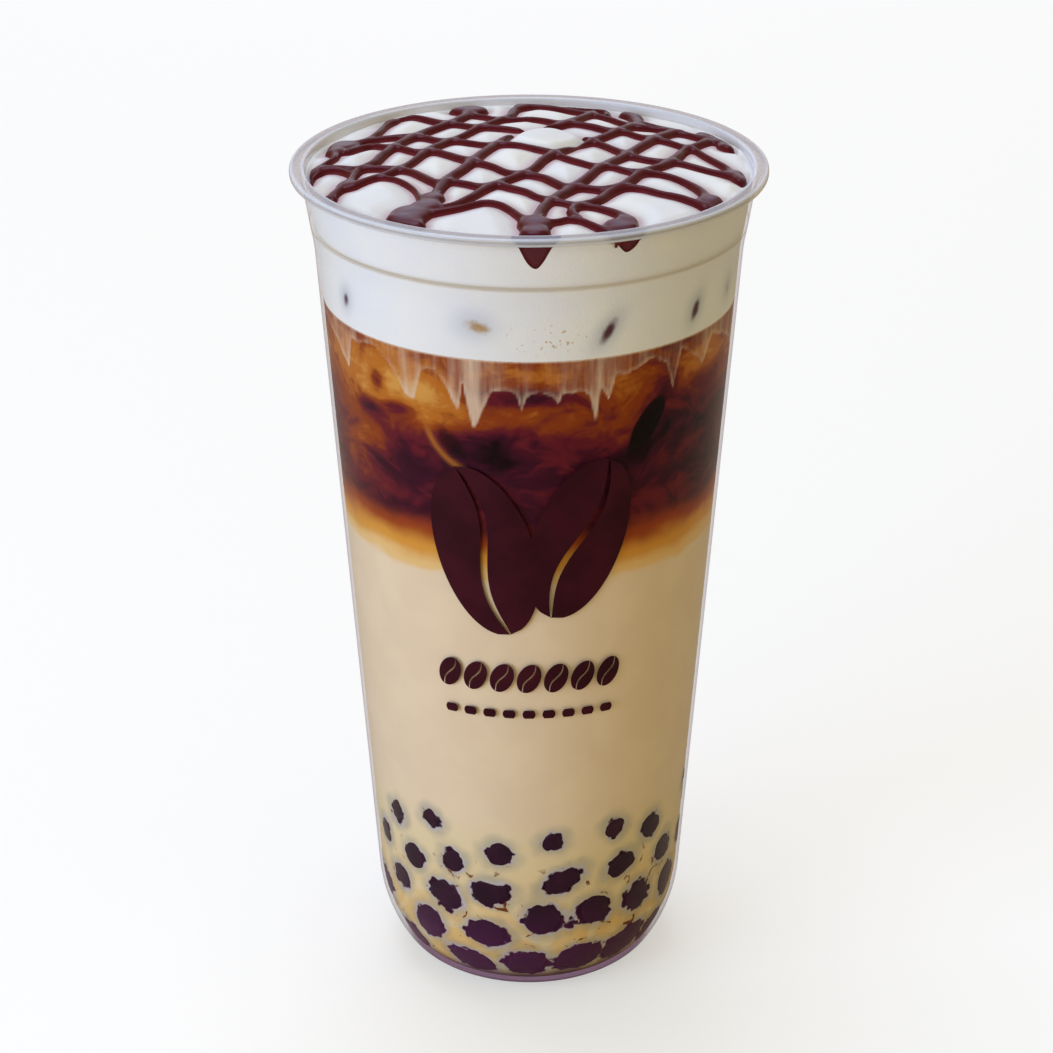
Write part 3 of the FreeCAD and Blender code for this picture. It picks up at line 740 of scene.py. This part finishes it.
# Lines of sauce as laid by hand over the foam: half the line's width, then the places that it
# passes in the plan. The first six run steeply from the front left to the back right.
STROKES = (
    (1.5, (-37, -22), (-35.5, -16), (-33, -10), (-31.8, -4), (-29.5, 0), (-28, 5), (-26, 10),
     (-23.5, 15), (-20.5, 20), (-17, 24.8), (-14.5, 28.5), (-12.5, 33), (-13, 37)),
    (1.4, (-32, -12), (-29.3, -9.7), (-26.3, -6.8), (-24, -3), (-22, 1), (-19.5, 7), (-16.5, 12),
     (-13, 17), (-10, 22), (-6.5, 27), (-4, 31), (-3, 36), (-1, 38.8), (0.8, 40.2)),
    (1.6, (-18, -22), (-17, -17), (-15.3, -11), (-12.8, -5.5), (-10.5, 0.5), (-8, 6), (-6, 10.5),
     (-3.5, 14.8), (-0.5, 18.5), (3.5, 21), (6.5, 24), (9, 27.6), (11, 31), (13, 34.4)),
    (1.5, (-15.5, -26), (-13.5, -24.5), (-11, -21), (-8, -16.2), (-5, -12), (-2, -8.5),
     (0.8, -4.8), (3, 0), (5.6, 4.8), (9.4, 10.4), (13.4, 15.4), (17.3, 20.5), (20.4, 24.6),
     (21.8, 27.5), (21.4, 30.5), (20.5, 34)),
    (1.6, (1.2, -33), (2.2, -29), (3.4, -25.3), (6, -19.4), (8.3, -14.2), (10.5, -10.2),
     (12.6, -6), (15.7, 0), (18.6, 5), (21.4, 10.4), (24, 16), (27.6, 20.3), (29.5, 21)),
    (1.5, (8.8, -31), (8, -28), (9.3, -24.6), (12.2, -21.6), (14.4, -16.8), (18, -11.9), (21, -7),
     (25, -2), (27.8, 3.9), (29.6, 9.2), (32, 12.5), (34.3, 15.6)),
    (1.2, (-35, 13), (-31.5, 16), (-29.6, 20), (-28.4, 24.5), (-27, 28.3)),
    (1.2, (-36.5, 12), (-37.2, 8), (-36.8, 4.5), (-38.2, 1), (-40, -2)),
    (1, (0.8, 40.2), (4, 40.8), (9, 39.8), (13, 38.2), (15.6, 36), (15.6, 33.2)),
    (1.2, (-0.5, 39.6), (3, 39), (6.4, 37.6), (9.6, 35.2), (13, 33), (16, 29.4), (18.6, 26),
     (21, 24), (24.4, 23.4), (27.6, 22), (30.6, 20.2), (32.6, 18.4), (35, 17)),
    (1.1, (22, 27.4), (25.4, 25), (28.2, 22.4)),
    (1.3, (33.4, 20), (35.6, 19.4), (37.3, 16.8), (38.2, 13.4), (38.2, 11.4)),
    (1.2, (-12, 36), (-10.8, 32.6), (-8.4, 30.8), (-6, 28.8), (-3, 28.3), (0.2, 28.5), (3, 27),
     (5.6, 25), (9, 24.5), (12, 22.8), (15, 20.4), (18.4, 19.2), (20.8, 16.8), (23.4, 15.4),
     (26.4, 14.2), (29.2, 11.8), (31.8, 9.6), (33.6, 6), (35.2, 3), (36.8, 0), (38, -4),
     (39.6, -8.6)),
    (1.25, (-27.6, 29.6), (-25, 31.2), (-22.6, 31.6), (-20, 29.8), (-17.4, 27.2), (-13.4, 25),
     (-10.4, 22.8), (-7, 21.8), (-4.4, 20.8), (-1, 19), (4, 19.6), (7, 17.6), (10, 15),
     (12.4, 12.4), (15, 9.4), (17.6, 6.2), (20.2, 3.4), (23, 1.4), (25.6, 0.6), (28, 0.9),
     (31, -1.2), (34, -3.2), (37.6, -5.4), (39.6, -8.6)),
    (1.3, (-35, 14), (-32.5, 14.8), (-29.8, 16), (-26.6, 16.7), (-23.4, 17.2), (-20, 16.4),
     (-17, 14.4), (-13.6, 14), (-10.4, 12.2), (-7.4, 10), (-4.2, 9.4), (-1.4, 7.8), (1.8, 5.4),
     (4.6, 3.6), (7, 1), (9.8, -1.8), (12.6, -4.2), (15.6, -4.6), (18.2, -6.6), (21, -7),
     (24.8, -7.4), (27.8, -9.4), (30, -12.2), (31.6, -15.4), (32.4, -19)),
    (1.3, (-34.6, 8), (-32.4, 10.6), (-30, 11.6), (-27.6, 10.4), (-24.4, 9.2), (-21.6, 6.6),
     (-17.8, 6.6), (-15.2, 4.2), (-12.6, 1.2), (-9.2, -1.4), (-6.4, -3.8), (-3.6, -6.8), (0, -8),
     (2.8, -9.8), (4.8, -12.2), (7, -14.4), (10, -14.7), (13, -15.2), (17, -14), (20.6, -14.6),
     (23.6, -16.6), (26.6, -18.6), (29, -20.8), (31.4, -23)),
    (1.3, (-41, -7), (-40.6, -3.6), (-38.4, -2), (-35.4, -2.9), (-33, -5)),
    (1.35, (-41, -2.4), (-36.6, -1.4), (-32, -2.7), (-28, -3), (-24.6, -3.6), (-21.6, -6),
     (-19.4, -9.2), (-17, -12.6), (-14.2, -11.8), (-11.6, -13), (-8.8, -14.6), (-5.4, -13.8),
     (-2.8, -16), (0.2, -18.4), (2.4, -21.2), (5.6, -23.2), (9, -24.6), (12.2, -25.2), (15, -27.2),
     (17.4, -29.8), (18.4, -33)),
    (1, (-31, -11), (-28, -8.7), (-25.4, -9.8), (-23, -12.6), (-21.2, -16), (-20.2, -19.6),
     (-19.2, -22.4)),
    (1.2, (-17, -28.6), (-13, -26.6), (-10, -24.8), (-7.6, -24), (-5, -25.4), (-3, -28.2),
     (-1.2, -31.8), (1, -34), (4.6, -33.6), (7, -32.1), (9.5, -32.3), (11.6, -34.2), (13.6, -36.2),
     (16, -37)),
)
# Pools of sauce at the turns: place and radius.
POOLS = (
    (-36.8, -18, 1.8), (-33, -11.6, 2.2), (-17.8, -20.5, 2.6), (-18.6, -25, 3.3),
    (-21.2, -28.6, 3.9), (-22.2, -31.4, 3.5), (-20.3, -34, 2), (1, -34.6, 3.2), (1.1, -38.4, 2.9),
    (16.6, -34.6, 3.3), (17.8, -31.6, 1.9), (15.6, -37.2, 1.7), (32.9, -20.8, 2.8),
    (32.8, -23.4, 2.1), (38, -4.4, 2.1), (39.6, -7.4, 1.5), (37.6, 15.8, 1.9), (38, 12.6, 1.7),
    (20.6, 34.6, 2.3), (-13.2, 37.2, 3.1), (-10.6, 35.6, 2.3), (-27.4, 29.6, 1.8), (-36, 12.8, 3.3),
    (-37.2, 9, 1.9), (-40.2, -2.8, 2), (-1.5, 39.6, 1.7), (21.8, 24.2, 1.6), (34.6, 18.8, 1.7),
)
# Sauce that has run down inside the wall: angle, half width at the top and length.
SAUCE_DRIPS = ((1.7, 3.5, 4.9), (24.5, 3.1, 3.0))
# A lump of foam that covers the sauce near the middle: place and half sizes.
LUMP = (3.4, 13.6, 6.4, 6.6)
# The lines run together with a blend of this size, and are this much thinner than their table.
SAUCE_EASE, SAUCE_TRIM = 0.5, 0.36
PLAN_STEP = 0.25


def lump_share(x, y, power=1):
    """How far places lie within the lump, from 0 to 1."""
    middle_x, middle_y, wide, deep = LUMP
    return np.exp(-((((x - middle_x) / wide) ** 2 + ((y - middle_y) / deep) ** 2) ** power))


def curve(places):
    """A smooth line through places, as closely spaced points."""
    p = np.array([places[0], *places, places[-1]], float)
    t = np.linspace(0, 1, 5, endpoint=False)[:, None]
    spans = [
        0.5 * (2 * b + (c - a) * t + (2 * a - 5 * b + 4 * c - d) * t**2
               + (3 * b - a - 3 * c + d) * t**3)
        for a, b, c, d in zip(p, p[1:], p[2:], p[3:])
    ]
    return np.concatenate(spans + [p[-1:]])


def plan_depth():
    """How deep inside the sauce's outline each place of a fine grid lies, negative outside it."""
    side = np.arange(-MOUTH - 1, MOUTH + 1, PLAN_STEP)
    gx, gy = pairs(side, side)
    flat = np.column_stack([gx, gy, 0 * gx])
    x = gx + 0.3 * ripple(flat, 11.0, 91)
    y = gy + 0.3 * ripple(flat, 11.0, 93)
    total = np.zeros(len(x))
    for half, *places in STROKES:
        line = curve(places)
        nearest = np.full(len(x), 60.0)
        for a, b in zip(line, line[1:]):
            close = (np.abs(x - a[0]) < 7) & (np.abs(y - a[1]) < 7)
            px, py = x[close] - a[0], y[close] - a[1]
            way = b - a
            share = np.clip((px * way[0] + py * way[1]) / (way @ way), 0, 1)
            away = np.hypot(px - share * way[0], py - share * way[1])
            nearest[close] = np.minimum(nearest[close], away)
        total += np.exp(np.clip((half - SAUCE_TRIM - nearest) / SAUCE_EASE, -40, 12))
    for px, py, size in POOLS:
        total += np.exp(np.clip((size - np.hypot(x - px, y - py)) / SAUCE_EASE, -40, 12))
    depth = SAUCE_EASE * np.log(total + 1e-8) + 0.12 * ripple(flat, 7.0, 95)
    # only the drips reach the wall
    angle = np.degrees(np.arctan2(gx, -gy))
    from_drip = np.min([np.abs(turn_between(angle, drip[0])) for drip in SAUCE_DRIPS], axis=0)
    depth -= 4.0 * smooth(MOUTH - 1.3, MOUTH - 0.4, np.hypot(gx, gy)) * smooth(4.0, 6.5, from_drip)
    return side, (depth - 4.0 * lump_share(gx, gy, 2.5)).reshape(len(side), len(side))


PLAN = plan_depth()


def sauce_depth(x, y):
    """The plan's depth at places, read off its grid."""
    side, grid = PLAN
    u = np.clip((np.asarray(x) - side[0]) / PLAN_STEP, 0, len(side) - 1.001)
    v = np.clip((np.asarray(y) - side[0]) / PLAN_STEP, 0, len(side) - 1.001)
    i, j = u.astype(int), v.astype(int)
    u, v = u - i, v - j
    return ((1 - u) * (1 - v) * grid[i, j] + u * (1 - v) * grid[i + 1, j]
            + (1 - u) * v * grid[i, j + 1] + u * v * grid[i + 1, j + 1])


def foam_top(x, y, depth):
    """The height of the foam's top, with soft mounds between the lines of sauce."""
    reach = np.hypot(x, y)
    flat = np.column_stack([x, y, 0 * x])
    dome = CUP_HEIGHT - FOAM_BELOW_RIM + FOAM_RISE * (1 - (reach / MOUTH) ** 2)
    mound = 1.25 * smooth(0.3, -4.6, depth) - 0.5
    lump = 0.8 * lump_share(x, y)
    fold = 0.22 * ripple(flat, 9.0, 101) + 0.04 * ripple(flat, 3.5, 102)
    roll = -0.9 * smooth(MOUTH - 3.0, MOUTH, reach)
    return dome + mound + lump + fold + roll


def make_sauce():
    """The sauce as one skin over the foam, whose edge dips under the foam's surface."""
    step = 0.28
    half = int(MOUTH / step)
    side = np.arange(-half, half + 1) * step
    x, y = pairs(side, side)
    depth = sauce_depth(x, y)
    limit = wall_radius(CUP_HEIGHT - FOAM_BELOW_RIM) - 0.05
    reach = np.hypot(x, y)
    pull = np.where(reach > limit, limit / np.maximum(reach, 1e-6), 1)
    body = 1 - np.clip(depth / 1.6, 0, 1)
    bead = 1.25 * np.sqrt(1 - body**2) + 0.05 * np.maximum(depth - 1.6, 0)
    rise = np.where(depth > 0, bead, 1.4 * depth)
    x, y = x * pull, y * pull
    z = foam_top(x, y, depth) + rise
    keep = (depth > -0.5) & (reach < limit + 1.5 * step)
    # whole quads of kept points, turned to face up
    quads = np.roll(np.array(grid_faces(len(side), len(side)))[:, ::-1], 1, axis=1)
    used, quads = np.unique(quads[keep[quads].all(axis=1)], return_inverse=True)
    points = np.column_stack([x, y, z])[used]
    # the pools' field marks where the sauce's colour gets a painted lilac reflection
    piece = make_piece("chocolate_lattice", points, quads.reshape(-1, 4).tolist(), sauce_material(),
                       depth=np.clip(depth[used] / 1.6, 0, 1), pool=smooth(1.3, 2.8, depth[used]))
    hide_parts("chocolate_sauce")
    return piece


def make_drips(material):
    """Sauce that has run down between the foam and the wall, wide above with a round tip."""
    rows = 41
    for number, (angle, half, long) in enumerate(SAUCE_DRIPS):
        side = np.linspace(-1.25, 1.25, rows) * half
        down = np.linspace(-0.3, 1.12, rows)
        across, down = pairs(side, down)
        flat = np.column_stack([across, down * long, 0 * across + 9 * number])
        outline = half * (0.36 + 0.64 * np.clip(1 - down, 0, 1.2) ** 1.25)
        outline *= np.sqrt(np.clip(1 - np.clip((down - 0.55) / 0.45, 0, 1) ** 2, 0, 1))
        depth = outline - np.abs(across) + 0.14 * ripple(flat, 2.4, 111)
        depth = np.minimum(depth, (1.0 - down) * long)
        z = CUP_HEIGHT - FOAM_BELOW_RIM - 0.3 - down * long
        turn = np.radians(angle) + across / MOUTH
        points = round_points(wall_radius(z) + np.clip(depth * 0.5, -0.5, 0.06), turn, z)
        piece = make_piece(f"sauce_drip_{number + 1}", points, grid_faces(rows, rows), material,
                           depth=np.clip(depth, 0, 0.8))


# ---- the foam ----

# Ice that shows through the foam's side: angle, height, half width, half height, lean, strength.
ICE_IN_FOAM = (
    (-58, 148.2, 1, 1.5, 0.2, 0.8), (21, 148, 1.15, 2.4, 0.5, 1), (50, 148, 1.1, 2.1, 0.25, 0.95),
    (68, 148.3, 1.2, 1.8, 0, 0.4), (105, 148, 1, 2, 0.4, 0.85), (-110, 149, 0.9, 2, 0.2, 0.85),
    (160, 147.5, 1.1, 1.8, 0, 0.7),
)


def make_foam():
    """The foam: its side against the cup, then its soft top."""
    around = 420
    sides, tops = 50, 130
    angles = np.radians(np.linspace(-180, 180, around, endpoint=False))
    edge_r = wall_radius(CUP_HEIGHT - FOAM_BELOW_RIM)
    edge_x, edge_y = edge_r * np.sin(angles), -edge_r * np.cos(angles)
    edge_z = foam_top(edge_x, edge_y, sauce_depth(edge_x, edge_y))
    rings = []
    for t in np.linspace(0, 1, sides):
        z = FOAM_LEVEL + t * (edge_z - FOAM_LEVEL)
        rings.append(round_points(wall_radius(z), angles, z))
    for t in np.linspace(1, 0.0002, tops)[1:]:
        x, y = t * edge_x, t * edge_y
        rings.append(np.column_stack([x, y, foam_top(x, y, sauce_depth(x, y))]))
    points = np.concatenate(rings)
    angle = np.degrees(np.arctan2(points[:, 0], -points[:, 1]))
    on_side = np.arange(len(points)) < sides * around
    depth = sauce_depth(points[:, 0], points[:, 1])

    def blob(*spot):
        """A soft spot on the foam's side, from 0 to 1."""
        return patch(angle, points[:, 2], *spot, power=1.2, radius=edge_r) * on_side

    core, halo = np.zeros((2, len(points)))
    for middle, height, wide, tall, lean, strength in ICE_IN_FOAM:
        core = np.maximum(core, strength * blob(middle, height, wide, tall, lean))
        wider = blob(middle, height + 0.4, wide + 1.6, tall + 1.5, lean)
        halo = np.maximum(halo, (0.35 + 0.4 * strength) * wider)
    brown = blob(-13.2, 149.5, 2.3, 1.25, -0.6)
    halo = np.maximum(halo, 0.5 * blob(-14, 149.8, 4.6, 3.2, 0.0))
    flecks = blob(5, 147.4, 9.0, 2.9, 0.0)
    piece = make_piece("foam_cap", points, ring_faces(len(rings), around), foam_material(),
                       stain=np.where(on_side, 0, smooth(-2.0, 0.1, depth)), core=core, halo=halo,
                       brown=brown, flecks=flecks)
    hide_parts("cream_foam")


# ---- the print ----

# Two large beans over a row of small ones: place across and up, length, width and lean.
BEANS = ((-8.5, 104.0, 36.0, 19.0, -16.0), (9.5, 106.5, 34.0, 18.0, 18.0),
         *((x, 77.0, 6.6, 4.6, 24.0) for x in np.linspace(-16.5, 16.5, 7)))
DASHES = [-16.4 + number * 4.1 for number in range(9)]
DASH_HEIGHT = 69.0
PRINT_PROUD = 0.05


def on_wall(across, z):
    """Points of a flat design laid on the outside of the cup."""
    r = radius_at(side_line(0, 0), z) + PRINT_PROUD
    return round_points(r, across / PRINT_RADIUS, z)


def bean_faces(middle, height, long, wide, lean, first):
    """One coffee bean in two halves with a curved gap, as points and faces."""
    rows, columns = 61, 13
    points, faces = [], []
    v = np.linspace(-1, 1, rows)
    edge = np.sqrt(np.maximum(1 - v**2, 0))
    cos, sin = math.cos(math.radians(lean)), math.sin(math.radians(lean))
    for side in (-1, 1):
        outer = side * edge
        inner = np.clip(0.2 * np.sin(v * math.pi) + 0.075 * outer, -edge, edge)
        u = inner[:, None] + (outer - inner)[:, None] * np.linspace(0, 1, columns)
        x, y = u.ravel() * wide / 2, np.repeat(v, columns) * long / 2
        points.append(on_wall(middle + x * cos + y * sin, height - x * sin + y * cos))
        quads = grid_faces(rows, columns, first)
        faces += quads if side > 0 else [quad[::-1] for quad in quads]
        first += rows * columns
    return np.concatenate(points), faces


def make_print():
    """The print: a plain pattern of coffee beans over a row of dashes."""
    points, faces = [], []
    for bean in BEANS:
        p, f = bean_faces(*bean, sum(map(len, points)))
        points.append(p)
        faces += f
    rows, columns = 7, 13
    v, u = pairs(np.linspace(-1, 1, rows), np.linspace(-1, 1, columns))
    for middle in DASHES:
        faces += grid_faces(rows, columns, sum(map(len, points)))
        x = middle + u * 1.35 * np.sqrt(1 - 0.55 * v**2)
        points.append(on_wall(x, DASH_HEIGHT + v * 0.9))
    piece = make_piece("bean_print", np.concatenate(points), faces, ink_material())


# ---- light, floor and camera ----


def make_light(name, place, size, power, shade):
    """A square lamp that faces the cup's middle and isn't seen itself."""
    lamp = bpy.data.lights.new(name, "AREA")
    lamp.size, lamp.energy = size, power
    lamp.color = colour(*shade)[:3]
    holder = add_object(name, lamp)
    holder.location = place
    holder.visible_camera = False
    aim = np.array([0, 0, 0.1]) - np.array(place)
    holder.rotation_euler = (math.atan2(math.hypot(aim[0], aim[1]), -aim[2]), 0,
                             math.atan2(aim[1], aim[0]) - math.pi / 2)


def make_studio():
    """Cool light from the front left and from above, in a warm room."""
    make_light("key", (-0.85, -0.62, 0.34), 0.7, 9.8, (186, 213, 255))
    make_light("front", (-0.45, -1.0, 0.25), 0.6, 2.2, (255, 228, 180))
    make_light("side", (1.0, -0.35, 0.2), 0.7, 1.15, (255, 236, 196))
    make_light("top", (-0.3, 0.6, 2.6), 1.4, 36.0, (205, 218, 255))
    make_light("back", (0.0, 1.2, 0.75), 1.1, 3.6, (205, 215, 255))
    # the camera sees a pale backdrop and floor, and the cup gets warm light from them
    s = Shader("studio", "World")
    seen = s.node("LightPath").outputs["Is Camera Ray"]
    room = s.shader("Background", Color=(1.0, 0.93, 0.58, 1), Strength=0.45)
    backdrop = s.shader("Background", Color=(0.93, 0.94, 0.95, 1))
    bpy.context.scene.world = s.show(s.mix(seen, room, backdrop))
    s = Shader("pale_floor")
    matt = s.shader("BsdfDiffuse", Color=(1.0, 0.98, 0.94, 1))
    glow = s.shader("Emission", Color=(1.0, 0.99, 0.98, 1))
    warm = s.shader("BsdfDiffuse", Color=(0.5, 0.42, 0.26, 1))
    seen = s.node("LightPath").outputs["Is Camera Ray"]
    material = s.show(s.mix(seen, warm, s.mix(0.5, matt, glow)))
    mesh = bpy.data.meshes.new("floor")
    low = -0.05 * MM
    mesh.from_pydata([(-3, -3, low), (3, -3, low), (3, 3, low), (-3, 3, low)], [], [(0, 1, 2, 3)])
    mesh.materials.append(material)
    floor = add_object("floor", mesh)


def make_camera():
    """A camera a little above the rim, looking down at the cup."""
    lens = bpy.data.cameras.new("camera")
    lens.lens, lens.sensor_width = 99.1, 36.0
    lens.shift_x = -0.0024
    camera = add_object("camera", lens)
    camera.location = (0, -0.523, 0.3333)
    camera.rotation_euler = (math.radians(90 - 24.716), 0, 0)
    bpy.context.scene.camera = camera


def main():
    bpy.context.scene.view_settings.view_transform = "Standard"
    make_camera()
    make_studio()
    make_cup()
    pearls = all_pearls()
    make_pearls(pearls)
    drink = drink_material()
    make_latte(pearls, drink)
    make_coffee(drink)
    sauce = make_sauce()
    make_drips(sauce.data.materials[0])
    make_foam()
    make_print()


main()
